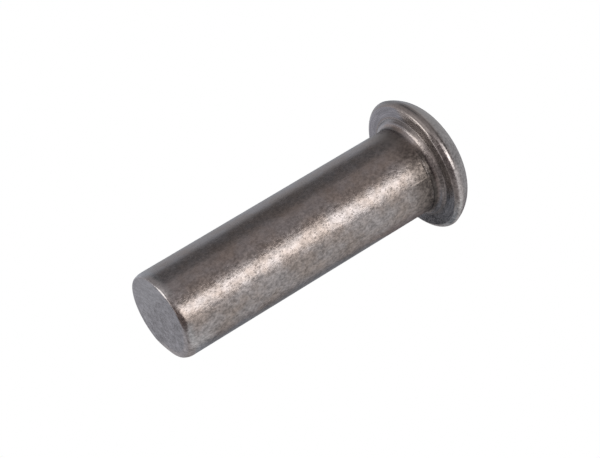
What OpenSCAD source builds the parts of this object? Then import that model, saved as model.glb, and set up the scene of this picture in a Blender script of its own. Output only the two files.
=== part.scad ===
// Solid rivet: one piece of plain steel, headed cold from round wire.
// Millimetres. The axis is Z: the cut tail face lies on z = 0 and the
// domed head is at the top. Every surface is turned about the axis, so
// the whole piece is drawn as half a section and spun once.

/* [Shank] */
// Diameter of the plain round shank
shank_d = 5.94; // [4:0.02:6.2]
// Length from the tail face to the flat bearing face under the head
shank_l = 20; // [8:0.5:40]
// Tight radius round the edge of the tail face
heel_r = 0.13; // [0.04:0.01:0.2]
// Easy radius that brings the end of the shank in to that edge
ease_r = 1; // [0.4:0.05:1.6]
// How far the shank leans in, in degrees, where the two radii meet
ease_lean = 26; // [15:1:40]

/* [Neck] */
// Hollow radius from the shank out to the ledge of the collar
neck_r = 0.35; // [0.1:0.01:0.36]
// Slope of the ledge, in degrees from square to the axis
ledge_lean = 29; // [24:1:36]
// How far the collar's edge stands out from the shank
collar_step = 0.33; // [0.28:0.01:0.36]
// Height of the bearing face above the collar's edge
collar_h = 0.21; // [0.15:0.01:0.25]
// How far the collar's wall leans out, in degrees from upright
wall_lean = 37; // [30:1:42]
// Radius worn on the collar's edge
collar_edge_r = 0.15; // [0.02:0.01:0.16]
// Hollow radius from the collar's wall out to the bearing face
seat_r = 0.12; // [0.04:0.01:0.14]

/* [Head] */
// Largest diameter of the head
head_d = 9.05; // [8.6:0.05:12]
// Height of the head above the bearing face
head_h = 2.25; // [1.8:0.05:3.4]
// Radius round the rim, from the bearing face to the largest diameter
rim_r = 0.36; // [0.1:0.02:0.5]
// Height of the short upright land left between the rim and the dome
rim_land = 0.03; // [0.02:0.01:0.3]
// Angle at which the dome leans in from upright where it leaves the rim
dome_lean = 18.5; // [10:0.5:30]
// Radius of the dome's shoulder
shoulder_r = 2.36; // [1.4:0.02:2.4]

/* [Hidden] */
$fn = 64;

steel = [0.28, 0.255, 0.245];

shank_rad = shank_d / 2;
head_rad = head_d / 2;
// A point at a given distance from another, at an angle from outward
function off(p, length, angle) =
    [p[0] + length * cos(angle), p[1] + length * sin(angle)];

// Arcs are let in to their neighbours by this much, so that they cross
// cleanly instead of only touching.
run_in = 0.0004;

// Tail: centres of the easy and the tight radius
ease_c = [shank_rad - ease_r,
    ease_r * sin(ease_lean) + heel_r * (1 - sin(ease_lean))];
heel_c = [ease_c[0] + (ease_r + run_in - heel_r) * cos(ease_lean), heel_r];

// Collar: its edge, where ledge and wall would meet in a sharp corner, and
// the corners it makes with the shank and with the bearing face
edge = [shank_rad + collar_step, shank_l - collar_h];
root = [shank_rad, edge[1] - collar_step * tan(ledge_lean)];
seat = [edge[0] + collar_h * tan(wall_lean), shank_l];
// How far from each corner its radius starts
root_run = neck_r * tan(45 - ledge_lean / 2);
edge_run = collar_edge_r * tan(45 - (ledge_lean + wall_lean) / 2);
seat_run = seat_r * tan(45 - wall_lean / 2);
edge_in = off(edge, edge_run, 180 + ledge_lean);
edge_up = off(edge, edge_run, 90 - wall_lean);

// heights up the axis
land_z = shank_l + rim_r;             // foot of the upright land
rim_z = land_z + rim_land;            // foot of the dome
top_z = shank_l + head_h;             // crown
// The shoulder arc is limited by the height it has to turn in, so that a
// crown of some curve is always left above it.
shoulder = min(shoulder_r,
    0.94 * (head_h - rim_r - rim_land) / (1 - sin(dome_lean)));
shoulder_x = head_rad - shoulder * cos(dome_lean);
shoulder_z = rim_z - shoulder * sin(dome_lean);
// The crown is the arc centred on the axis that passes through the top of
// the head and runs into the shoulder arc.
rise = top_z - shoulder_z;
inner = shoulder - run_in;
crown_r = (rise * rise + shoulder_x * shoulder_x - inner * inner)
    / (2 * (rise - inner));
crown_z = top_z - crown_r;
// where the two arcs meet
meet_x = shoulder_x * crown_r / (crown_r - inner);

rivet();

module rivet() {
    color(steel)
        rotate_extrude() {
            shank_section();
            neck_section();
            head_section();
        }
}

// Plain wire, its end brought in by an easy radius to a tight one round
// the tail face
module shank_section() {
    intersection() {
        union() {
            translate(ease_c) circle(r = ease_r);
            square([ease_c[0], shank_l]);
            translate([0, ease_c[1]])
                square([shank_rad, shank_l - ease_c[1]]);
        }
        union() {
            translate(heel_c) circle(r = heel_r);
            polygon([[0, 0], [heel_c[0], 0], heel_c,
                off(heel_c, shank_rad, -ease_lean),
                [2 * shank_rad, shank_l], [0, shank_l]]);
        }
    }
}

// Low collar left by the mouth of the heading die: a hollow root on the
// shank side, a worn edge, a leaning wall and a hollow against the head
module neck_section() {
    difference() {
        polygon([[0, root[1] - root_run], off(root, root_run, -90),
            off(root, root_run, ledge_lean), edge_in, edge_up, seat,
            [0, shank_l]]);
        translate([shank_rad + neck_r, root[1] - root_run])
            circle(r = neck_r + run_in);
    }
    translate(off(edge_up, collar_edge_r, 180 - wall_lean))
        circle(r = collar_edge_r + run_in);
    difference() {
        polygon([[0, shank_l - seat_run], off(seat, seat_run, 270 - wall_lean),
            off(seat, seat_run, 0), off(seat, seat_run, 90), [0, shank_l]]);
        translate([seat[0] + seat_run, shank_l - seat_r])
            circle(r = seat_r + run_in);
    }
}

// Flat bearing face, rounded rim, steep shoulder and flatter crown
module head_section() {
    translate([0, shank_l]) square([head_rad - rim_r, rim_r]);
    intersection() {
        translate([head_rad - rim_r, land_z]) circle(r = rim_r);
        translate([head_rad - rim_r, shank_l]) square([rim_r, rim_r]);
    }
    intersection() {
        translate([0, crown_z]) circle(r = crown_r);
        union() {
            intersection() {
                translate([shoulder_x, shoulder_z]) circle(r = shoulder);
                translate([shoulder_x, land_z])
                    square([head_rad - shoulder_x, head_h]);
            }
            translate([0, land_z]) square([meet_x, head_h]);
        }
    }
}
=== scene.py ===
# %% [markdown]
# # Solid rivet
# A solid rivet is a length of round wire with a head cold-formed on one end.
# The other end stays plain until the rivet is set. This lesson dresses the
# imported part: it loads the frame, turns a finer skin over the same section,
# marks it as the forming tools do, gives it a worn steel finish and lights it.

# %% Load the frame
import math

import bpy
import numpy as np
from mathutils import Matrix, Vector


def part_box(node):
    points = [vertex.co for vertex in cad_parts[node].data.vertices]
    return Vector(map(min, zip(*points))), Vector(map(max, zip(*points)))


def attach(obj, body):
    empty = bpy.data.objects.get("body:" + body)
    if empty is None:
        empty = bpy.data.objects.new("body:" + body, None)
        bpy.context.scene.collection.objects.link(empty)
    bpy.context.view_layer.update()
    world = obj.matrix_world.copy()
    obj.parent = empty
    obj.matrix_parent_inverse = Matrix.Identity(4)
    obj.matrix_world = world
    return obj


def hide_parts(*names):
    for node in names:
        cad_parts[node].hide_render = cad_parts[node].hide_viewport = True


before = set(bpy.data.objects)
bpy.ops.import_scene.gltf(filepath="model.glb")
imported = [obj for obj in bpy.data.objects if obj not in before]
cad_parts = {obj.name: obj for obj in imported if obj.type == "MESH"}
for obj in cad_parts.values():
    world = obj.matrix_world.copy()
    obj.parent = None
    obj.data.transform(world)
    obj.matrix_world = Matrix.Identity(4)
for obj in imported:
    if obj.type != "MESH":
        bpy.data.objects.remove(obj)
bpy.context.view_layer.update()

MM = 0.001
low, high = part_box("rivet")
print("rivet stands", round((high.z - low.z) / MM, 2), "mm tall")

# %% [markdown]
# ## The section
# A turned piece is fully described by half of its section: a line of points
# that starts at the middle of the tail face, climbs the shank, steps out at
# the collar, crosses the bearing face and closes over the dome. Typing each
# point by hand would be slow and lumpy. Every curve here is a true arc, so a
# short helper walks along arcs, and the points sit closer where the metal
# turns tightly.

# %% The four main sizes, in millimetres
shank_r = 2.97  # half the thickness of the wire
shank_l = 20.0  # from the tail face up to the bearing face
head_r = 4.525  # half the width of the head
head_h = 2.25  # from the bearing face up to the crown
print("shank", 2 * shank_r, "x", shank_l, "mm, head", 2 * head_r, "x", head_h, "mm")

# %% Helpers that walk round the section
section = []
SQUARE = math.radians(90)


def line_to(r, z, steps=1):
    """Adds points on a straight line that ends at (r, z)."""
    r0, z0 = section[-1]
    for i in range(1, steps + 1):
        section.append((r0 + (r - r0) * i / steps, z0 + (z - z0) * i / steps))


def arc(r, z, radius, start, end, steps, first=1):
    """Adds points on a circle about (r, z), from start to end in degrees."""
    for i in range(first, steps + 1):
        a = math.radians(start + (end - start) * i / steps)
        section.append((r + radius * math.cos(a), z + radius * math.sin(a)))


def corner_run(radius, turn):
    """How far from a corner its radius starts, where the line turns by that angle."""
    return radius * math.tan(turn / 2)


# %% Tail: a flat, a tight heel, and an easy arc that runs into the shank
heel_r = 0.13
ease_r = 1.0
ease_lean = math.radians(26)  # where the heel hands over to the easy arc
flat_edge = 0.06  # the last strip of the flat
lean = math.degrees(ease_lean)
tail_in = ease_r * (1 - math.cos(ease_lean)) + heel_r * math.cos(ease_lean)
tail_up = ease_r * math.sin(ease_lean) + heel_r * (1 - math.sin(ease_lean))
section.append((0.0, 0.0))
line_to(shank_r - tail_in - flat_edge, 0.0, 9)
line_to(shank_r - tail_in, 0.0)
arc(shank_r - tail_in, heel_r, heel_r, -90, -lean, 7)
arc(shank_r - ease_r, tail_up, ease_r, -lean, 0, 8)
print("the tail's edge takes", round(tail_in, 3), "mm off the radius")

# %% Shank and neck: straight wire, and a small radius into the ledge
neck_r = 0.35
ledge_lean = math.radians(29)  # slope of the ledge, from level
collar_step = 0.33  # from the side of the shank out to the collar's edge
collar_h = 0.21  # from the collar's edge up to the bearing face
close_from = 18.9  # the rings of points sit closer above this height
edge_r = shank_r + collar_step
edge_z = shank_l - collar_h
root_z = edge_z - collar_step * math.tan(ledge_lean) - corner_run(neck_r, SQUARE - ledge_lean)
ledge = math.degrees(ledge_lean)
line_to(shank_r, close_from, 76)
line_to(shank_r, root_z, 18)
arc(shank_r + neck_r, root_z, neck_r, 180, 90 + ledge, 9)
print("the neck starts", round(shank_l - root_z, 3), "mm under the bearing face")

# %% Collar: a rounded edge, a short leaning wall, and a radius at its root
collar_edge_r = 0.15
wall_lean = math.radians(37)  # slope of the wall, from upright
seat_r = 0.12
wall = 90 - math.degrees(wall_lean)
edge_run = corner_run(collar_edge_r, SQUARE - ledge_lean - wall_lean)
edge_mid_r = edge_r + edge_run * math.sin(wall_lean) - collar_edge_r * math.cos(wall_lean)
edge_mid_z = edge_z + edge_run * math.cos(wall_lean) + collar_edge_r * math.sin(wall_lean)
seat_out = edge_r + collar_h * math.tan(wall_lean) + corner_run(seat_r, SQUARE - wall_lean)
arc(edge_mid_r, edge_mid_z, collar_edge_r, ledge - 90, wall - 90, 5, first=0)
arc(seat_out, shank_l - seat_r, seat_r, 90 + wall, 90, 6, first=0)
print("the bearing face starts", round(seat_out, 3), "mm from the axis")

# %% Bearing face and rim: a fine corner, a bevel and a round
rim_r = 0.36  # height of the rim, and its radius on the round side
rim_land = 0.03  # a short upright strip above the rim
rim_corner_r = 0.05
rim_bevel = math.radians(35.5)  # slope of the bevel, from level
rim_round_r = 0.25
face_edge = 0.04  # the last strip of the bearing face
bevel = math.degrees(rim_bevel)
bevel_top_r = head_r - rim_round_r * (1 - math.sin(rim_bevel))
bevel_top_z = shank_l + rim_r - rim_round_r * math.cos(rim_bevel)
bevel_foot = bevel_top_r - (bevel_top_z - shank_l) / math.tan(rim_bevel)
face_end = bevel_foot - corner_run(rim_corner_r, rim_bevel)
line_to(face_end - face_edge, shank_l, 6)
line_to(face_end, shank_l)
arc(face_end, shank_l + rim_corner_r, rim_corner_r, -90, bevel - 90, 4)
line_to(bevel_top_r, bevel_top_z, 14)
arc(head_r - rim_round_r, shank_l + rim_r, rim_round_r, bevel - 90, 0, 9)
line_to(head_r, shank_l + rim_r + rim_land)
print("the bearing face ends", round(face_end, 3), "mm from the axis")

# %% Dome: a leaning shoulder that hands over to a flatter crown
dome_lean = math.radians(18.5)
shoulder_r = 2.36
shoulder_x = head_r - shoulder_r * math.cos(dome_lean)
shoulder_z = shank_l + rim_r + rim_land - shoulder_r * math.sin(dome_lean)
rise = shank_l + head_h - shoulder_z
crown_r = (rise**2 + shoulder_x**2 - shoulder_r**2) / (2 * (rise - shoulder_r))
crown_z = shank_l + head_h - crown_r
meet = math.degrees(math.acos(shoulder_x / (crown_r - shoulder_r)))
arc(shoulder_x, shoulder_z, shoulder_r, math.degrees(dome_lean), meet, 14)
arc(0.0, crown_z, crown_r, meet, 90, 12)
section[-1] = (0.0, shank_l + head_h)
print(len(section), "points in the section; crown radius", round(crown_r, 2), "mm")

# %% [markdown]
# ## Turning the section
# The section has to be spun once round the axis. Blender's Screw modifier
# does that, but a Geometry Nodes tree lets the same step also put in the
# slight unevenness of drawn wire, with every size open as a named input.
# The tree lays out a flat grid with one row for each point of the section,
# reads the section's point for each row, swings it round the axis, joins the
# seam and the two poles, and then pushes the skin in and out by a slow noise.

# %% Helpers that add nodes to a tree
def plug(tree, target, value):
    """Feeds an input from another node's output, or sets it to a plain value."""
    if isinstance(value, bpy.types.NodeSocket):
        tree.links.new(value, target)
    else:
        target.default_value = value


def add(tree, kind, inputs=None, **settings):
    """Adds a node, sets its properties, then feeds its inputs by name or number."""
    node = tree.nodes.new(kind)
    for key, value in settings.items():
        setattr(node, key, value)
    for key, value in (inputs or {}).items():
        plug(tree, node.inputs[key], value)
    return node


# %% Helpers for sums, vectors and noise
def math_node(tree, operation, *values):
    """Adds one step of a sum and returns its result."""
    node = add(tree, "ShaderNodeMath", dict(enumerate(values)), operation=operation)
    return node.outputs[0]


def vector_node(tree, operation, *values):
    """Adds one step with vectors; a length or a dot product comes out as a number."""
    node = add(tree, "ShaderNodeVectorMath", dict(enumerate(values)), operation=operation)
    return node.outputs["Value" if operation in ("LENGTH", "DOT_PRODUCT") else "Vector"]


def vector_of(tree, x, y, z):
    return add(tree, "ShaderNodeCombineXYZ", {0: x, 1: y, 2: z}).outputs[0]


def parts_of(tree, vector):
    return add(tree, "ShaderNodeSeparateXYZ", {0: vector}).outputs


def noise(tree, vector, scale, detail, rough, seed):
    inputs = {"Vector": vector, "W": seed, "Scale": scale, "Detail": detail, "Roughness": rough}
    return add(tree, "ShaderNodeTexNoise", inputs, noise_dimensions="4D").outputs[0]


# %% An empty tree with every size as a named input
sizes = {"Steps around": 480, "Unevenness": 0.004 * MM, "Patch size": 2.2 * MM, "Seed": 7}
turner = bpy.data.node_groups.new("turned piece", "GeometryNodeTree")
turner.interface.new_socket("Section", in_out="INPUT", socket_type="NodeSocketGeometry")
for name, value in sizes.items():
    kind = "NodeSocketInt" if isinstance(value, int) else "NodeSocketFloat"
    turner.interface.new_socket(name, in_out="INPUT", socket_type=kind).default_value = value
turner.interface.new_socket("Finish", in_out="INPUT", socket_type="NodeSocketMaterial")
turner.interface.new_socket("Mesh", in_out="OUTPUT", socket_type="NodeSocketGeometry")
given = add(turner, "NodeGroupInput").outputs
print("inputs of the turning tree:", ", ".join(sizes))

# %% A grid with one row for each point of the section
rows = add(
    turner, "GeometryNodeAttributeDomainSize", {"Geometry": given["Section"]}, component="MESH"
).outputs["Point Count"]
columns = math_node(turner, "ADD", given["Steps around"], 1)
grid = add(turner, "GeometryNodeMeshGrid", {"Vertices X": rows, "Vertices Y": columns})
index = add(turner, "GeometryNodeInputIndex").outputs[0]
row = math_node(turner, "ADD", index, 0.5)
row = math_node(turner, "FLOOR", math_node(turner, "DIVIDE", row, columns))
column = math_node(turner, "SUBTRACT", index, math_node(turner, "MULTIPLY", row, columns))
print("a grid of", len(section), "rows and", sizes["Steps around"] + 1, "columns")

# %% Swing each row round the axis, then join the seam and the poles
same_place = 0.0005 * MM  # points closer than this are one
turn = math_node(turner, "DIVIDE", column, given["Steps around"])
turn = math_node(turner, "MULTIPLY", turn, 2 * math.pi)
read = add(
    turner,
    "GeometryNodeSampleIndex",
    {
        "Geometry": given["Section"],
        "Value": add(turner, "GeometryNodeInputPosition").outputs[0],
        "Index": row,
    },
    data_type="FLOAT_VECTOR",
    domain="POINT",
)
swing = add(
    turner,
    "ShaderNodeVectorRotate",
    {"Vector": read.outputs["Value"], "Angle": turn},
    rotation_type="Z_AXIS",
)
swung = add(
    turner,
    "GeometryNodeSetPosition",
    {"Geometry": grid.outputs["Mesh"], "Position": swing.outputs[0]},
)
joined = add(
    turner,
    "GeometryNodeMergeByDistance",
    {"Geometry": swung.outputs[0], "Distance": same_place},
)
print("points closer than", same_place / MM, "mm are joined")

# %% Push the skin in and out, but leave the foot flat
foot_h = 0.02 * MM  # what lies lower is the flat of the tail
here = add(turner, "GeometryNodeInputPosition").outputs[0]
size = given["Patch size"]
patch = vector_of(turner, size, size, size)
slow = noise(turner, vector_node(turner, "DIVIDE", here, patch), 1.0, 2.0, 0.5, given["Seed"])
push = math_node(turner, "SUBTRACT", slow, 0.5)
push = math_node(turner, "MULTIPLY", push, given["Unevenness"])
off_the_floor = math_node(turner, "GREATER_THAN", parts_of(turner, here)[2], foot_h)
push = math_node(turner, "MULTIPLY", push, math_node(turner, "MULTIPLY", off_the_floor, 2.0))
normal = add(turner, "GeometryNodeInputNormal").outputs[0]
offset = vector_node(turner, "MULTIPLY", normal, vector_of(turner, push, push, push))
uneven = add(
    turner,
    "GeometryNodeSetPosition",
    {"Geometry": joined.outputs[0], "Offset": offset},
)
print("the skin wanders by up to", sizes["Unevenness"] / MM, "mm")

# %% Face outwards, shade smoothly, and put on the finish
outward = add(turner, "GeometryNodeFlipFaces", {"Mesh": uneven.outputs[0]})
smooth = add(turner, "GeometryNodeSetShadeSmooth", {"Geometry": outward.outputs[0]})
real = add(turner, "GeometryNodeRealizeInstances", {"Geometry": smooth.outputs[0]})
dressed = add(
    turner,
    "GeometryNodeSetMaterial",
    {"Geometry": real.outputs[0], "Material": given["Finish"]},
)
add(turner, "NodeGroupOutput", {"Mesh": dressed.outputs[0]})
print("the turning tree has", len(turner.nodes), "nodes")

# %% [markdown]
# ## Groups for the finish
# The same few effects appear on every zone of the metal: fine pits, long
# marks left by the drawing die, and brown mottling. Each is built once as a
# node group with named inputs, and the material sets its own values. All of
# them read Object coordinates, so the pattern is solid: it runs on over
# edges with no seam, and stays put when the rivet moves.

# %% Helpers for shader groups and masks
def new_group(name, vectors, numbers, outputs):
    """Makes an empty group; returns its tree, what it is given and what it puts out."""
    tree = bpy.data.node_groups.new(name, "ShaderNodeTree")
    for label in vectors:
        tree.interface.new_socket(label, in_out="INPUT", socket_type="NodeSocketVector")
    for label, value in numbers.items():
        socket = tree.interface.new_socket(label, in_out="INPUT", socket_type="NodeSocketFloat")
        socket.default_value = value
    for label in outputs:
        tree.interface.new_socket(label, in_out="OUTPUT", socket_type="NodeSocketFloat")
    return tree, add(tree, "NodeGroupInput").outputs, add(tree, "NodeGroupOutput").inputs


def ramp(tree, value, start, end, low=0.0, high=1.0):
    """Turns start..end into low..high with soft ends, and holds it outside them."""
    inputs = {"Value": value, "From Min": start, "From Max": end, "To Min": low, "To Max": high}
    return add(tree, "ShaderNodeMapRange", inputs, interpolation_type="SMOOTHSTEP").outputs[0]


# %% Fine pits
pits, given, out = new_group(
    "fine pits", ["Vector"], {"Pits per mm": 8.0, "Share": 0.3, "Seed": 1.0}, ["Mask", "Height"]
)
per_m = math_node(pits, "DIVIDE", given["Pits per mm"], MM)
grain = noise(pits, given["Vector"], per_m, 2.0, 0.6, given["Seed"])
# A share of 0 to 1 puts the cut at 0.3 to 0.6 of the grain
cut = math_node(pits, "MULTIPLY_ADD", given["Share"], 0.3, 0.3)
pit_rim = math_node(pits, "ADD", cut, 0.04)
pit_floor = math_node(pits, "SUBTRACT", cut, 0.08)
mask = ramp(pits, grain, pit_rim, pit_floor)
plug(pits, out["Mask"], mask)
plug(pits, out["Height"], math_node(pits, "SUBTRACT", 1.0, mask))
print("fine pits:", len(pits.nodes), "nodes; grain under the cut is a pit")

# %% Marks along the wire: a noise that is stretched along Z
marks, given, out = new_group(
    "drawing marks", ["Vector"], {"Marks per mm": 6.0, "Stretch": 40.0, "Seed": 2.0}, ["Height"]
)
squeeze = vector_of(marks, 1.0, 1.0, math_node(marks, "DIVIDE", 1.0, given["Stretch"]))
stretched = vector_node(marks, "MULTIPLY", given["Vector"], squeeze)
per_m = math_node(marks, "DIVIDE", given["Marks per mm"], MM)
plug(marks, out["Height"], noise(marks, stretched, per_m, 3.0, 0.6, given["Seed"]))
print("drawing marks:", len(marks.nodes), "nodes")

# %% Brown mottling: broad patches, and finer ones at nine to each
mottle, given, out = new_group(
    "mottling", ["Vector"], {"Patches per mm": 0.7, "Seed": 3.0}, ["Broad", "Fine"]
)
pale, brown = 0.35, 0.65  # the noise between these makes the whole range
per_m = math_node(mottle, "DIVIDE", given["Patches per mm"], MM)
finer = math_node(mottle, "MULTIPLY", per_m, 9.0)
for label, scale, detail in [("Broad", per_m, 4.0), ("Fine", finer, 3.0)]:
    cloud = noise(mottle, given["Vector"], scale, detail, 0.6, given["Seed"])
    plug(mottle, out[label], ramp(mottle, cloud, pale, brown))
print("mottling:", len(mottle.nodes), "nodes")

# %% [markdown]
# ## The steel
# Bare steel wire is grey where it is cut or pressed clean, and picks up a
# thin brown film where it was only drawn. A material for each zone would
# leave hard borders, which the real skin doesn't have. So one material covers
# the whole rivet and tells its zones apart by height, by distance from the
# axis and by side. A metal shows its colour in what it reflects, so only the
# base colour, the roughness, the metallic share and a shallow bump change.

# %% The material, and where on the rivet it is
steel = bpy.data.materials.new("dark steel")
steel.use_nodes = True
metal = steel.node_tree
shader = metal.nodes["Principled BSDF"]
places = add(metal, "ShaderNodeTexCoord").outputs
where = places["Object"]
x, y, z = parts_of(metal, where)
reach = vector_node(metal, "LENGTH", vector_of(metal, x, y, 0.0))  # distance from the axis
above = math_node(metal, "SUBTRACT", z, shank_l * MM)  # height over the bearing face
faces_down = math_node(metal, "MULTIPLY", parts_of(metal, places["Normal"])[2], -1.0)
print("the steel reads its place on the rivet with", len(metal.nodes), "nodes")


# %% Helpers for masks
def fade(value, start, end, low=0.0, high=1.0):
    """Goes softly from low to high while a length goes from start to end, in mm."""
    return ramp(metal, value, start * MM, end * MM, low, high)


def both(*masks):
    """The masks times each other, so only the place where all of them are."""
    product = masks[0]
    for mask in masks[1:]:
        product = math_node(metal, "MULTIPLY", product, mask)
    return product


def either(a, b):
    return math_node(metal, "MAXIMUM", a, b)


def band(value, start, full, fading, end):
    """Is 1 from full to fading, and 0 before start and past end, in mm."""
    return both(fade(value, start, full), fade(value, end, fading))


# %% Helpers for colours and patterns
def mix_colour(tree, amount, a, b, blend="MIX"):
    inputs = {0: amount, 6: a, 7: b}
    return add(tree, "ShaderNodeMix", inputs, data_type="RGBA", blend_type=blend).outputs[2]


def paint(under, mask, coat):
    """Lays a coat over a colour, as far as the mask says."""
    return mix_colour(metal, mask, under, coat)


def use(group, vector, values):
    """Places one of the groups in the steel, with its own values."""
    inputs = {"Vector": vector, **values}
    return add(metal, "ShaderNodeGroup", inputs, node_tree=group).outputs


# %% The zones, from the tail up
# z counts from the tail face, and above counts from the bearing face
tail_face = both(ramp(metal, faces_down, 0.90, 0.98), fade(z, 0.5, 0.3))
not_face = math_node(metal, "SUBTRACT", 1.0, tail_face)
shank = fade(above, -0.4, -0.8)
neck = band(above, -2.7, -0.8, -0.9, -0.6)
hollow = band(above, -0.72, -0.57, -0.45, -0.25)
seat_side = fade(above, 0.03, 0.01)
bearing = both(fade(reach, 3.12, 3.30), seat_side)
rim = band(above, 0.005, 0.04, 0.45, 0.75)
dome = fade(above, 0.4, 0.8)
print("zones: tail face, shank, neck, hollow, bearing face, rim and dome")

# %% Patterns on the wire
drawn_out = vector_node(metal, "MULTIPLY", where, (1.0, 1.0, 0.75))
patches = use(mottle, drawn_out, {"Patches per mm": 0.7, "Seed": 3.0})
clouds = use(mottle, drawn_out, {"Patches per mm": 0.26, "Seed": 11.0})["Fine"]
specks = use(pits, where, {"Pits per mm": 7.0, "Share": 0.35, "Seed": 4.0})
drawn = use(marks, where, {"Marks per mm": 5.0, "Stretch": 30.0, "Seed": 5.0})["Height"]
more_in_neck = math_node(metal, "MULTIPLY_ADD", neck, 0.9, 1.0)
mottled = both(fade(x, -2.5, 0.3, 0.3, 1.45), more_in_neck)
print("the wire is mottled most on its +X side and in the neck")

# %% [markdown]
# ## Marks on the two flat faces
# The tail face was sheared, so short tears run one way across it. The
# bearing face was pressed in a turned die, and carries the die's rings.
# Modelling such marks would take millions of faces. A Mapping node draws the
# mottling out along the tears, and adding the distance from the axis to all
# three coordinates bends the same mottling into rings.

# %% Tears and rings
tear_angle = math.radians(-63)
along_tears = {"Vector": where, "Rotation": (0, 0, tear_angle), "Scale": (3.0, 1.0, 1.0)}
tears = add(metal, "ShaderNodeMapping", along_tears, vector_type="TEXTURE").outputs[0]
torn = use(mottle, tears, {"Patches per mm": 0.45, "Seed": 21.0})
little = vector_node(metal, "MULTIPLY", where, (0.10, 0.10, 0.6))
rings = vector_node(metal, "ADD", little, vector_of(metal, reach, reach, reach))
turned = use(mottle, rings, {"Patches per mm": 0.8, "Seed": 31.0})
print("tears run at", round(math.degrees(tear_angle)), "degrees across the tail face")

# %% [markdown]
# ## Colour of the wire
# The brown film stays thickest under the head, where nothing rubs it. Over
# it, the sides of the neck carry painted shade, and the hollow beside the
# collar carries painted shade that is nearly black. It could be painted on a
# picture, but that needs an unwrapped mesh and shows its seams. Here each
# zone's mask lays one coat over the last, with soft edges, as a stain has.

# %% Wire, neck, and painted shade in the neck and the hollow
WIRE = (0.296, 0.272, 0.266, 1)
WIRE_BROWN = (0.270, 0.230, 0.208, 1)
NECK = (0.215, 0.187, 0.170, 1)
NECK_SHADE = (0.140, 0.120, 0.108, 1)
HOLLOW_SHADE = (0.070, 0.061, 0.056, 1)
colour = paint(WIRE, patches["Broad"], WIRE_BROWN)
colour = paint(colour, neck, NECK)
# Painted shade: the neck is darkened on its +X side, and by half at its far -X edge.
neck_shade_side = either(fade(x, -1.9, -1.0), fade(x, -2.4, -2.8, 0.0, 0.5))
colour = paint(colour, both(neck, neck_shade_side), NECK_SHADE)
# Painted shade: the hollow is painted nearly black on its +X side and, a little less, at its far -X
# edge.
hollow_shade_side = either(fade(x, -1.4, -0.2), fade(x, -2.2, -2.8, 0.0, 0.7))
colour = paint(colour, both(hollow, hollow_shade_side), HOLLOW_SHADE)
print("the hollow keeps", round(HOLLOW_SHADE[0] / WIRE[0], 2), "of the wire's brightness")

# %% [markdown]
# ## Colour of the head
# Each part of the head has its own coat. On its +X half the rim's bevel is
# dull brown, the strip above it is lightened as a painted highlight, and its
# far +X side is paler still as painted sheen; on the -X half the rim turns
# darker toward its far edge. A thin dark line of painted shade runs where rim
# and dome meet. The bearing face is clean steel with the film still on its
# front and painted shade on its +X side, and its sharp outer corner carries a
# painted highlight, the brightest line of all. One colour over the head would
# look like plastic, so each of these has its coat.

# %% Rim and dome, with a painted highlight, painted sheen and a painted dark line
RIM = (0.285, 0.262, 0.250, 1)
RIM_NEAR = (0.200, 0.185, 0.178, 1)
RIM_BEVEL = (0.215, 0.196, 0.186, 1)
RIM_HIGHLIGHT = (0.400, 0.370, 0.358, 1)
RIM_FAR_SHEEN = (0.500, 0.500, 0.490, 1)
DOME = (0.255, 0.248, 0.246, 1)
EDGE_SHADE_LINE = (0.090, 0.080, 0.075, 1)
# Painted highlight and sheen: on the +X half the strip above the bevel is lightened, and the far +X
# side paler still.
pressed_rim = paint(RIM_BEVEL, fade(above, 0.12, 0.24), RIM_HIGHLIGHT)
pressed_rim = paint(pressed_rim, fade(x, 3.0, 4.2), RIM_FAR_SHEEN)
plain_rim = paint(RIM, fade(x, -3.8, -4.4), RIM_NEAR)
colour = paint(colour, rim, paint(plain_rim, fade(x, -1.3, 0.3), pressed_rim))
colour = paint(colour, dome, DOME)
# Painted shade: a thin dark line where rim and dome meet, at up to half strength on the -X half.
edge_shade_line = both(band(above, 0.39, 0.46, 0.53, 0.62), fade(x, 1.5, 0.0, 0.0, 0.45))
colour = paint(colour, edge_shade_line, EDGE_SHADE_LINE)
# This compares the rim's painted highlight with its bevel.
print("the rubbed rim is", round(RIM_HIGHLIGHT[0] / RIM_BEVEL[0], 2), "times as bright as its bevel")

# %% Bearing face, its painted shade, and its outer corner
CLEAN = (0.235, 0.238, 0.258, 1)
FILM = (0.290, 0.262, 0.245, 1)
FAR_SIDE_SHADE = (0.222, 0.213, 0.216, 1)
CORNER_HIGHLIGHT = (0.560, 0.525, 0.510, 1)
under_head = paint(CLEAN, fade(y, -2.0, -2.7), FILM)
# Painted shade: the bearing face is darkened toward its +X side.
under_head = paint(under_head, fade(x, 2.1, 3.3), FAR_SIDE_SHADE)
colour = paint(colour, bearing, under_head)
# Painted highlight: a bright line laid on the bearing face's outer corner, across the middle in X.
corner = both(band(reach, 4.145, 4.175, 4.225, 4.26), band(above, -0.05, -0.02, 0.04, 0.06))
corner_middle = band(x, -1.5, -1.1, 0.6, 1.5)
corner_highlight = both(corner, corner_middle)
print("the corner is", round(CORNER_HIGHLIGHT[0] / CLEAN[0], 2), "times as bright as the bearing face")

# %% Collar: a painted highlight across the middle in X, painted shade toward both sides
COLLAR_HIGHLIGHT = (0.430, 0.392, 0.372, 1)
COLLAR_SHADE = (0.200, 0.184, 0.178, 1)
ledge_edge = both(band(reach, 3.04, 3.16, 3.35, 3.42), fade(above, -0.5, -0.4), seat_side)
# Painted highlight: the collar's ledge edge is lightened across the middle in X.
highlit = band(x, -1.6, -0.7, 0.3, 1.2)
colour = paint(colour, both(ledge_edge, highlit), COLLAR_HIGHLIGHT)
collar = both(band(reach, 3.20, 3.30, 3.54, 3.62), bearing)
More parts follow.
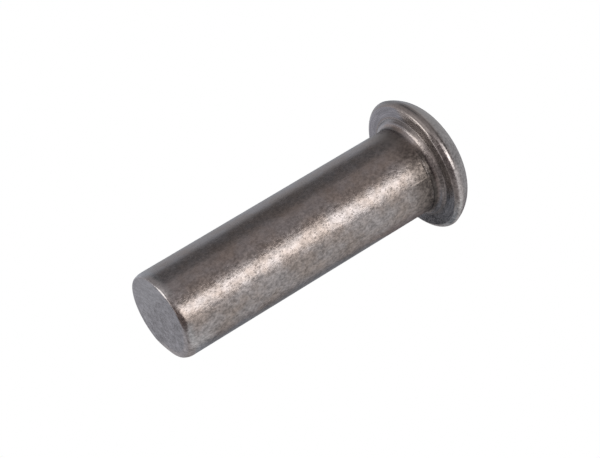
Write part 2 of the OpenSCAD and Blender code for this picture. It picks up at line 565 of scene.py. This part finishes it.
# Painted shade: the collar is darkened toward both sides in X.
shaded_sides = either(fade(x, -1.4, -2.1, 0.0, 0.8), fade(x, 0.3, 1.1, 0.0, 0.8))
colour = paint(colour, both(collar, shaded_sides), COLLAR_SHADE)
# The painted highlight on the outer corner goes on last.
colour = paint(colour, corner_highlight, CORNER_HIGHLIGHT)
print("the rubbed collar is", round(COLLAR_HIGHLIGHT[0] / COLLAR_SHADE[0], 2), "times as bright as its sides")

# %% [markdown]
# ## Colour of the tail
# The blade leaves bare grey metal, lighter on one half of the cut face, and
# its edge is rolled and rubbed. The border between the halves is torn, not
# straight, so the broad tears push it to and fro. The foot of the shank is
# lightened on its +X side as a painted highlight.

# %% Cut face, rolled edge and a painted highlight on the foot
FACE = (0.234, 0.240, 0.254, 1)
FACE_LIGHT = (0.275, 0.284, 0.298, 1)
ROLLED = (0.318, 0.308, 0.308, 1)
FOOT_HIGHLIGHT = (0.415, 0.400, 0.395, 1)
torn_x = math_node(metal, "MULTIPLY_ADD", torn["Broad"], 1.2 * MM, x)
colour = paint(colour, tail_face, paint(FACE_LIGHT, fade(torn_x, -0.4, 0.3), FACE))
beside = either(fade(x, -0.5, -1.1), fade(x, 0.8, 1.8))
heel = both(fade(z, 0.75, 0.35), beside, not_face)
rolled = both(fade(reach, 2.25, 2.55), fade(x, 0.8, 1.8), tail_face)
colour = paint(colour, either(heel, rolled), ROLLED)
# Painted highlight: the foot of the shank is lightened on its +X side.
foot_highlight = both(fade(z, 2.6, 0.7), fade(x, 1.9, 2.6), not_face)
colour = paint(colour, foot_highlight, FOOT_HIGHLIGHT)
print("the steel has", len(metal.nodes), "nodes with all its coats")

# %% Light and dark: patches, clouds, rings, tears and specks
SPECK = (0.070, 0.060, 0.055, 1)
usual = 0.53  # the mottling's own middle, which changes nothing
patchy = math_node(metal, "SUBTRACT", patches["Fine"], usual)
cloudy = math_node(metal, "SUBTRACT", clouds, usual)
shade = math_node(metal, "MULTIPLY_ADD", patchy, math_node(metal, "MULTIPLY", mottled, 0.30), 0.98)
cloudy = both(cloudy, math_node(metal, "MULTIPLY", mottled, 0.20))
shade = math_node(metal, "ADD", shade, cloudy)
on_bearing = both(bearing, ramp(metal, turned["Fine"], 0.0, 1.0, -0.17, 0.15))
on_face = both(tail_face, ramp(metal, torn["Fine"], 0.0, 1.0, -0.14, 0.08))
shade = math_node(metal, "ADD", shade, math_node(metal, "ADD", on_bearing, on_face))
colour = mix_colour(metal, 1.0, colour, vector_of(metal, shade, shade, shade), "MULTIPLY")
dark = both(specks["Mask"], math_node(metal, "MULTIPLY", mottled, 0.26))
plug(metal, shader.inputs["Base Color"], paint(colour, dark, SPECK))
shader.inputs["Specular Tint"].default_value = (0.80, 0.80, 0.80, 1)
print("the specks are", round(SPECK[0] / WIRE[0], 2), "times as bright as the wire")

# %% [markdown]
# ## Gloss and relief
# A film dulls the metal under it, so the neck and the front of the bearing
# face are a little less metallic and the neck is rougher. Pits, die rings
# and drawing marks are a few thousandths of a millimetre deep. At that size
# only the way they turn the light can be seen, so a bump gives it, and the
# mesh stays light.

# %% Gloss
filmed = both(bearing, fade(y, -2.0, -2.7, 0.3, 1.0))
dull = either(filmed, math_node(metal, "MULTIPLY", neck, 0.3))
plug(metal, shader.inputs["Metallic"], math_node(metal, "MULTIPLY_ADD", dull, -0.32, 1.0))
smoothest, roughest = 0.235, 0.31
rough = ramp(metal, patches["Fine"], 0.0, 1.0, smoothest, roughest)
rough = math_node(metal, "MULTIPLY_ADD", neck, 0.10, rough)
rough = math_node(metal, "MULTIPLY_ADD", specks["Mask"], 0.12, rough)
plug(metal, shader.inputs["Roughness"], rough)
print("roughness", smoothest, "to", roughest, "on the wire, more in the neck and the pits")

# %% Relief
bump_depth = 0.004 * MM
grainy = math_node(metal, "MULTIPLY_ADD", patches["Fine"], 0.9, specks["Height"])
relief = both(grainy, math_node(metal, "MULTIPLY", mottled, 0.6))
on_shank = math_node(metal, "MULTIPLY", shank, 0.8)
relief = math_node(metal, "MULTIPLY_ADD", drawn, on_shank, relief)
on_bearing = math_node(metal, "MULTIPLY", bearing, 0.9)
relief = math_node(metal, "MULTIPLY_ADD", turned["Fine"], on_bearing, relief)
bump = add(metal, "ShaderNodeBump", {"Strength": 1.0, "Distance": bump_depth, "Height": relief})
plug(metal, shader.inputs["Normal"], bump.outputs[0])
print("steel has", len(metal.nodes), "nodes; its bump is", bump_depth / MM, "mm deep")

# %% [markdown]
# ## Making the skin
# The section goes in as a loose line of vertices, and the tree turns it. A
# modifier's inputs are known by identifiers, so the names are looked up
# first. The tree could stay live, but the marks of the tools have to move
# its points, so new_from_object keeps the result as a plain mesh.

# %% Turn the rivet
line = bpy.data.meshes.new("section")
steps = [(i, i + 1) for i in range(len(section) - 1)]
line.from_pydata([(r * MM, 0, h * MM) for r, h in section], steps, [])
blank = bpy.data.objects.new("section", line)
bpy.context.scene.collection.objects.link(blank)
turning = blank.modifiers.new("turn", "NODES")
turning.node_group = turner
asked = [s for s in turner.interface.items_tree if s.in_out == "INPUT"]
identifier = {socket.name: socket.identifier for socket in asked}
for name, value in sizes.items():
    turning[identifier[name]] = value
turning[identifier["Finish"]] = steel
ready = blank.evaluated_get(bpy.context.evaluated_depsgraph_get())
skin = bpy.data.meshes.new_from_object(ready)
bpy.data.objects.remove(blank)
print("turned", len(skin.vertices), "points")

# %% Keep it as a plain piece of steel
skin.name = "rivet_skin"
rivet = bpy.data.objects.new("rivet_skin", skin)
bpy.context.scene.collection.objects.link(rivet)
skin.materials.clear()
skin.materials.append(steel)
for face in skin.polygons:
    face.material_index = 0
print("skin:", sum(len(face.vertices) - 2 for face in skin.polygons), "triangles")

# %% [markdown]
# ## Marks of the shears
# Wire is cropped to length before it is headed. The blade comes through a
# little out of square, so the cut face leans, sits off centre, and has one
# side of its edge rolled over. A turned section can't show that, and
# sculpting it by hand can't be repeated, so the points near the tail are
# moved by rule: first inwards, then up at the rolled side, then all of them
# by the lean, which keeps the lowest one a few thousandths of a millimetre
# above the floor.

# %% Read the points of the skin, in millimetres
points = np.empty(len(skin.vertices) * 3)
skin.vertices.foreach_get("co", points)
points = points.reshape(-1, 3) / MM


def smooth_step(t):
    """Goes softly from 0 to 1 while t does, and stays there outside it."""
    t = np.clip(t, 0, 1)
    return t * t * (3 - 2 * t)


def reach_of(points):
    """How far each point is from the axis."""
    return np.hypot(points[:, 0], points[:, 1])


def turn_of(points):
    """The angle of each point round the axis, from +X."""
    return np.arctan2(points[:, 1], points[:, 0])


print("the skin's points reach from", points.min(0).round(2), "to", points.max(0).round(2))

# %% Draw the edge of the tail in, most on the near side
inset, inset_right, inset_front = 0.195, 0.02, 0.084
r, a = reach_of(points), turn_of(points)
inward = inset + inset_right * np.cos(a) - inset_front * np.sin(a)
in_edge = (points[:, 2] < tail_up) & (r > shank_r - tail_in)
in_face = (points[:, 2] < tail_up) & ~in_edge
new_r = np.where(in_edge, shank_r - (shank_r - r) * inward / tail_in, r)
new_r = np.where(in_face, r * (shank_r - inward) / (shank_r - tail_in), new_r)
points[:, 0] = new_r * np.cos(a)
points[:, 1] = new_r * np.sin(a)
print("the edge is drawn in by", inward.min().round(3), "to", inward.max().round(3), "mm")

# %% Roll one side of the edge up
roll_from, roll_h, roll_top = 2.15, 0.10, 0.9
roll_side, roll_soft = 0.9, 1.2  # where along X it starts, and how slowly
rolled_side = smooth_step((points[:, 0] - roll_side) / roll_soft)
rolling = np.clip((reach_of(points) - roll_from) / (shank_r - roll_from), 0, 1) ** 2
lifted = roll_h * rolling * rolled_side * (1 - smooth_step(points[:, 2] / roll_top))
points[:, 2] += lifted
print("the rolled side is lifted by up to", lifted.max().round(3), "mm")

# %% Lean the cut face
lean_x, lean_y, lean_top = 0.055, 0.030, 1.5
leaned = math.hypot(lean_x, lean_y)
tilt = leaned + (lean_x * points[:, 0] + lean_y * points[:, 1]) / shank_r
points[:, 2] += tilt * (1 - smooth_step(points[:, 2] / lean_top))
print("tail face leans", round(math.degrees(leaned / shank_r), 2), "degrees out of square")

# %% [markdown]
# ## Flats on the edge of the tail
# Loose rivets are tumbled and dropped, and the corner of the tail takes the
# knocks. Each knock leaves a small flat with soft borders. A boolean cut
# would leave borders like a knife's and break up the skin, so the points
# that stand out past a slanting plane are pushed back to it, and a short
# blend softens the border.

# %% Two small flats
flat_blend = 0.012  # how softly a flat runs out
blend_end = -12 * flat_blend  # points deeper inside than this stay put
for turn, lift, depth in [(-114, -57, 0.022), (-68, -40, 0.06)]:
    turn, lift = math.radians(turn), math.radians(lift)
    level = math.cos(lift)
    out_from = np.array([level * math.cos(turn), level * math.sin(turn), math.sin(lift)])
    reached = points @ out_from
    over = reached - (reached.max() - depth)
    beyond = (over + np.hypot(over, flat_blend)) / 2 * (over > blend_end)
    points -= beyond[:, None] * out_from
    print("flat at", round(math.degrees(turn)), "degrees is", depth, "mm deep")

# %% [markdown]
# ## Marks of the heading tools
# The head is struck in a cup that never sits quite true to the die below it,
# so the rim is round on one side and pressed to a bevel on the other. The
# wire also carries fine lines scored by the die, and one ring just under the
# neck where the die closed. All are real shapes, at most a few hundredths of
# a millimetre off the plain section, that a bump would only pretend, so the
# same points carry them.

# %% Round the rim on one side
r, a = reach_of(points), np.degrees(turn_of(points))
up = points[:, 2] - shank_l
level = 0.01  # this near to the height of the bearing face counts as on it
bevel_start, bevel_in = -107, 11  # in degrees round the axis: where it starts, and how slowly
bevel_end, bevel_out = 60, 40
bevelled = smooth_step((a - bevel_start) / bevel_in) * smooth_step((bevel_end - a) / bevel_out)
rounder = 1 - bevelled
round_r = head_r - rim_r + np.sqrt(np.clip(rim_r**2 - (rim_r - up) ** 2, 0, None))
closer = (head_r - rim_r - face_end) / (face_end - seat_out)
on_flat = (abs(up) < level) & (r > seat_out) & (r <= face_end)
on_rim = (up > -level) & (up < rim_r) & (r > face_end)
new_r = np.where(on_flat, r + (r - seat_out) * closer * rounder, r)
new_r = np.where(on_rim, r + (round_r - r) * rounder, new_r)
points[:, :2] *= (new_r / np.maximum(r, 1e-6))[:, None]
print("the rim is rounded to", rim_r, "mm on one side and bevelled on the other")

# %% Lines scored along the wire
on_wire = abs(r - shank_r) < 0.02  # the marks end where the neck's radius begins to flare
scored_end = 0.3  # each line dies out over this length
for turn, start, end, half_width, height in [
    (-67.5, 17.9, 19.42, 0.045, 0.016),
    (-67.0, 14.5, 18.2, 0.060, 0.004),
    (-47.5, 16.6, 18.7, 0.040, 0.010),
    (-43.0, 18.2, 19.0, 0.040, 0.011),
    (-52.0, 15.2, 16.6, 0.040, 0.004),
    (-47.5, 6.6, 7.5, 0.040, 0.005),
    (-46.0, 7.2, 8.3, 0.040, 0.004),
    (-48.5, 8.2, 9.2, 0.040, 0.005),
    (-24.0, 3.0, 6.5, 0.050, 0.004),
    (60.0, 4.0, 13.0, 0.050, 0.005),
    (131.0, 9.0, 18.0, 0.050, 0.005),
]:
    across = np.radians(a - turn) * shank_r / half_width
    along = smooth_step((points[:, 2] - start) / scored_end)
    along *= smooth_step((end - points[:, 2]) / scored_end)
    lift = height * np.exp(-(across**2) / 2) * along * on_wire
    points[:, :2] *= (1 + lift / shank_r)[:, None]
    print("line at", turn, "degrees, from", start, "to", end, "mm, is", height, "mm high")

# %% One ring near the neck, and the points go back into the skin
ring_z, ring_half, ring_h = 19.17, 0.045, 0.010
ring_start, ring_end, ring_soft = -96, -66, 8  # in degrees round the axis
ring = np.exp(-(((points[:, 2] - ring_z) / ring_half) ** 2) / 2) * on_wire
ring *= smooth_step((a - ring_start) / ring_soft) * smooth_step((ring_end - a) / ring_soft)
points[:, :2] *= (1 + ring_h * ring / shank_r)[:, None]
skin.vertices.foreach_set("co", (points * MM).ravel())
skin.update()
print("the skin reaches from", points.min(0).round(3), "to", points.max(0).round(3), "mm")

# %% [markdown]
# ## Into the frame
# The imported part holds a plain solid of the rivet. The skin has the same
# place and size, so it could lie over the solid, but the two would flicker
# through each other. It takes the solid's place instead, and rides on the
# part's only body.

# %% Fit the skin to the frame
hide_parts("rivet")
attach(rivet, "root")
print("the skin stands for the rivet's solid")

# %% [markdown]
# ## The floor
# The rivet stands on its tail on a plain pale floor. The main view looks up
# at the tail, from lower than the floor, so the floor's underside is made
# clear: Geometry's Backfacing picks the side. Only the camera sees the floor,
# so it throws no light back at the steel, and a little glow of its own keeps
# it nearly as pale as the backdrop. The rivet's shadow still falls on it.

# %% A floor seen only from above
floor_half = 0.6
shape = [(-1, -1), (1, -1), (1, 1), (-1, 1)]
floor_mesh = bpy.data.meshes.new("floor")
floor_mesh.from_pydata([(x * floor_half, y * floor_half, 0) for x, y in shape], [], [(0, 1, 2, 3)])
floor = bpy.data.objects.new("floor", floor_mesh)
bpy.context.scene.collection.objects.link(floor)
floor.visible_glossy = floor.visible_diffuse = False
floor.visible_shadow = floor.visible_transmission = False
print("the floor is", 2 * floor_half, "m wide")


# %% A material that shows from its front only
def one_sided(name, front):
    """Makes a material whose back is clear; front adds the nodes of its face to the tree."""
    material = bpy.data.materials.new(name)
    material.use_nodes = True
    tree = material.node_tree
    tree.nodes.clear()
    back = add(tree, "ShaderNodeNewGeometry").outputs["Backfacing"]
    clear = add(tree, "ShaderNodeBsdfTransparent").outputs[0]
    sides = add(tree, "ShaderNodeMixShader", {0: back, 1: front(tree), 2: clear})
    add(tree, "ShaderNodeOutputMaterial", {0: sides.outputs[0]})
    return material


def pale_front(tree):
    matt = add(tree, "ShaderNodeBsdfDiffuse", {"Color": (0.8, 0.8, 0.8, 1)})
    seen = add(tree, "ShaderNodeLightPath").outputs["Is Camera Ray"]
    glow = add(tree, "ShaderNodeEmission", {"Strength": math_node(tree, "MULTIPLY", seen, 0.30)})
    return add(tree, "ShaderNodeAddShader", {0: matt.outputs[0], 1: glow.outputs[0]}).outputs[0]


floor_mesh.materials.append(one_sided("pale floor", pale_front))
print("the floor is pale from above and clear from below")

# %% [markdown]
# ## Light
# Satin metal shows what stands round it more than it shows its own colour.
# A picture of a room could be wrapped round the rivet, but its parts can't
# be moved one by one. So the camera sees a white room, and the steel mirrors
# a grey one with soft round cards: each lightens or darkens the room about
# one direction. Pale cards stand behind the rivet and on its right, a dim
# one on its left draws the dark band down the shank, and the small ones add
# or take away single highlights.

# %% A soft card, as a group
def toward_angles(turn, lift):
    """The direction at that turn from +X and that lift from level, in degrees."""
    turn, lift = math.radians(turn), math.radians(lift)
    return Vector((math.cos(lift) * math.cos(turn), math.cos(lift) * math.sin(turn), math.sin(lift)))


card, given, out = new_group(
    "soft card", ["Direction", "Toward"], {"Half angle": 40.0, "Soft edge": 10.0}, ["Amount"]
)
unit = vector_node(card, "NORMALIZE", given["Direction"])
cosine = vector_node(card, "DOT_PRODUCT", unit, given["Toward"])
angle = math_node(card, "DEGREES", math_node(card, "ARCCOSINE", cosine))
inner = math_node(card, "SUBTRACT", given["Half angle"], given["Soft edge"])
outer = math_node(card, "ADD", given["Half angle"], given["Soft edge"])
plug(card, out["Amount"], ramp(card, angle, outer, inner))
print("a soft card takes", len(card.nodes), "nodes")

# %% The cards round the rivet
# Each has its turn and lift, half its width and its soft edge, in degrees,
# and then what it adds to the room in red, green and blue.
cards = {
    "wide right": (-14, 14, 42, 10, (0.341, 0.38, 0.388)),
    "back left": (126, 12, 32, 6, (0.20, 0.27, 0.33)),
    "back low": (108, -18, 32, 9, (0.33, 0.33, 0.36)),
    "back overhead": (90, 75, 34, 8, (0.33, 0.35, 0.36)),
    "dim left": (180, 24, 23, 8, (-0.326, -0.29, -0.283)),
    "dim back": (90, 26, 18, 10, (-0.32, -0.32, -0.32)),
    "dim under front": (-65, -50, 34, 6, (-0.30, -0.30, -0.30)),
    "dim back high": (72, 34, 20, 12, (-0.18, -0.18, -0.17)),
    "small bright under": (139, -68, 12, 6, (3.9, 3.8, 3.7)),
    "front left low": (-142, -40, 22, 8, (0.50, 0.48, 0.47)),
    "front low": (-88, -18, 17, 6, (0.55, 0.54, 0.54)),
    "right level": (-14, -6, 18, 8, (0.16, 0.16, 0.16)),
    "right low": (10, -48, 18, 10, (0.16, 0.16, 0.16)),
    "left high": (172, 50, 14, 8, (0.22, 0.22, 0.22)),
    "right high": (25, 50, 16, 8, (0.16, 0.16, 0.16)),
    "dim front high": (-92, 59, 17, 8, (-0.32, -0.30, -0.30)),
    "beside the lamp": (-50, 10, 20, 14, (0.16, 0.15, 0.15)),
}
print(len(cards), "cards, of which", sum(c[4][0] < 0 for c in cards.values()), "are dim")

# %% The room
WHITE = (1, 1, 1, 1)
world = bpy.data.worlds.new("studio")
bpy.context.scene.world = world
world.use_nodes = True
room = world.node_tree
room.nodes.clear()
direction = add(room, "ShaderNodeTexCoord").outputs["Generated"]
light = (0.534, 0.50, 0.506)
for name, (turn, lift, half, soft, gain) in cards.items():
    toward = toward_angles(turn, lift)
    inputs = {"Direction": direction, "Toward": toward, "Half angle": half, "Soft edge": soft}
    placed = add(room, "ShaderNodeGroup", inputs, node_tree=card, label=name)
    light = vector_node(room, "MULTIPLY_ADD", placed.outputs["Amount"], gain, light)
seen = add(room, "ShaderNodeLightPath").outputs["Is Camera Ray"]
backdrop = add(room, "ShaderNodeBackground", {"Color": mix_colour(room, seen, light, WHITE)})
add(room, "ShaderNodeOutputWorld", {0: backdrop.outputs[0]})
print("the room has", len(room.nodes), "nodes")

# %% [markdown]
# ## The lamp
# A round bar draws any lamp out into a stripe along itself, and the lamp's
# width sets how wide the stripe is. A lamp much taller than the rivet lights
# the shank evenly from neck to tail, so one tall soft lamp in front is
# enough, and it throws the rivet's shadow too.

# %% One tall soft lamp
def soft_lamp(name, turn, lift, distance, wide, tall, brightness):
    """Hangs a lamp that faces the middle of the rivet; sizes in metres, angles in degrees."""
    lamp = bpy.data.lights.new(name, "AREA")
    lamp.shape = "RECTANGLE"
    lamp.size = wide
    lamp.size_y = tall
    lamp.energy = brightness * math.pi * wide * tall
    lamp.color = (1.0, 0.985, 0.962)
    holder = bpy.data.objects.new(name, lamp)
    bpy.context.scene.collection.objects.link(holder)
    out_from = toward_angles(turn, lift)
    holder.location = Vector((0, 0, 11 * MM)) + out_from * distance
    holder.rotation_euler = out_from.to_track_quat("Z", "Y").to_euler()
    print(name, "is", round(distance / MM), "mm away,", round(lamp.energy, 3), "W")


soft_lamp("key lamp", turn=-73.5, lift=16, distance=0.30, wide=0.140, tall=0.40, brightness=2.9)

# %% [markdown]
# ## Two flags close by
# The far side of the shank, away from the lamp, mirrors the strip of room
# beside it. A grey flag stands there and keeps that edge from melting into
# the white. A second, smaller and nearly black, stands closer, under the
# head, and draws the deep tone on that side of the bearing face. The room
# can't do this, because it is as far from one part of the rivet as from
# another. Only reflections see the flags: they cast no shadow and the
# camera looks through them.

# %% A grey flag and a small dark one
def flag(name, corners, colour):
    """Hangs a flat cloth by its four corners, in mm; only reflections see it."""

    def front(tree):
        return add(tree, "ShaderNodeEmission", {"Color": colour}).outputs[0]

    mesh = bpy.data.meshes.new(name)
    mesh.from_pydata([(x * MM, y * MM, z * MM) for x, y, z in corners], [], [(0, 1, 2, 3)])
    mesh.materials.append(one_sided(name + " cloth", front))
    held = bpy.data.objects.new(name, mesh)
    bpy.context.scene.collection.objects.link(held)
    held.visible_camera = held.visible_diffuse = False
    held.visible_shadow = held.visible_transmission = False
    print(name, "in place")


GREY = (0.375, 0.40, 0.447, 1)
DARK = (0.03, 0.03, 0.035, 1)
flag("grey_flag", [(2.6, 7, 3.5), (14, 7, 3.5), (14, 7, 19.4), (2.6, 7, 19.4)], GREY)
flag("dark_flag", [(3, 4, 17.8), (14, 4, 17.8), (14, 16, 17.8), (3, 16, 17.8)], DARK)

# %% [markdown]
# ## Camera
# A close view from in front and below, with the rivet lying across the
# frame from lower left to upper right. The camera could be aimed with a
# constraint, but its place, its line of sight and its roll are known, so one
# matrix says it all. The long lens keeps the shank nearly parallel.

# %% Camera
eye = Vector((0, -137.82, -49.92)) * MM
look = toward_angles(90.106, 23.869)
camera_roll = math.radians(58.965)
camera_data = bpy.data.cameras.new("camera")
camera_data.sensor_width = 36
camera_data.lens = 144.55
camera_data.clip_start = 0.005
camera = bpy.data.objects.new("camera", camera_data)
bpy.context.scene.collection.objects.link(camera)
upright = (-look).to_track_quat("Z", "Y").to_matrix().to_4x4()
camera.matrix_world = Matrix.Translation(eye) @ Matrix.Rotation(camera_roll, 4, -look) @ upright
bpy.context.scene.camera = camera
bpy.context.view_layer.update()
print("camera looks up at", round(math.degrees(math.asin(look.z)), 1), "degrees")

# %% [markdown]
# ## Last settings
# The picture is shown as it is rendered, with no film look laid over it.

bpy.context.scene.view_settings.view_transform = "Standard"
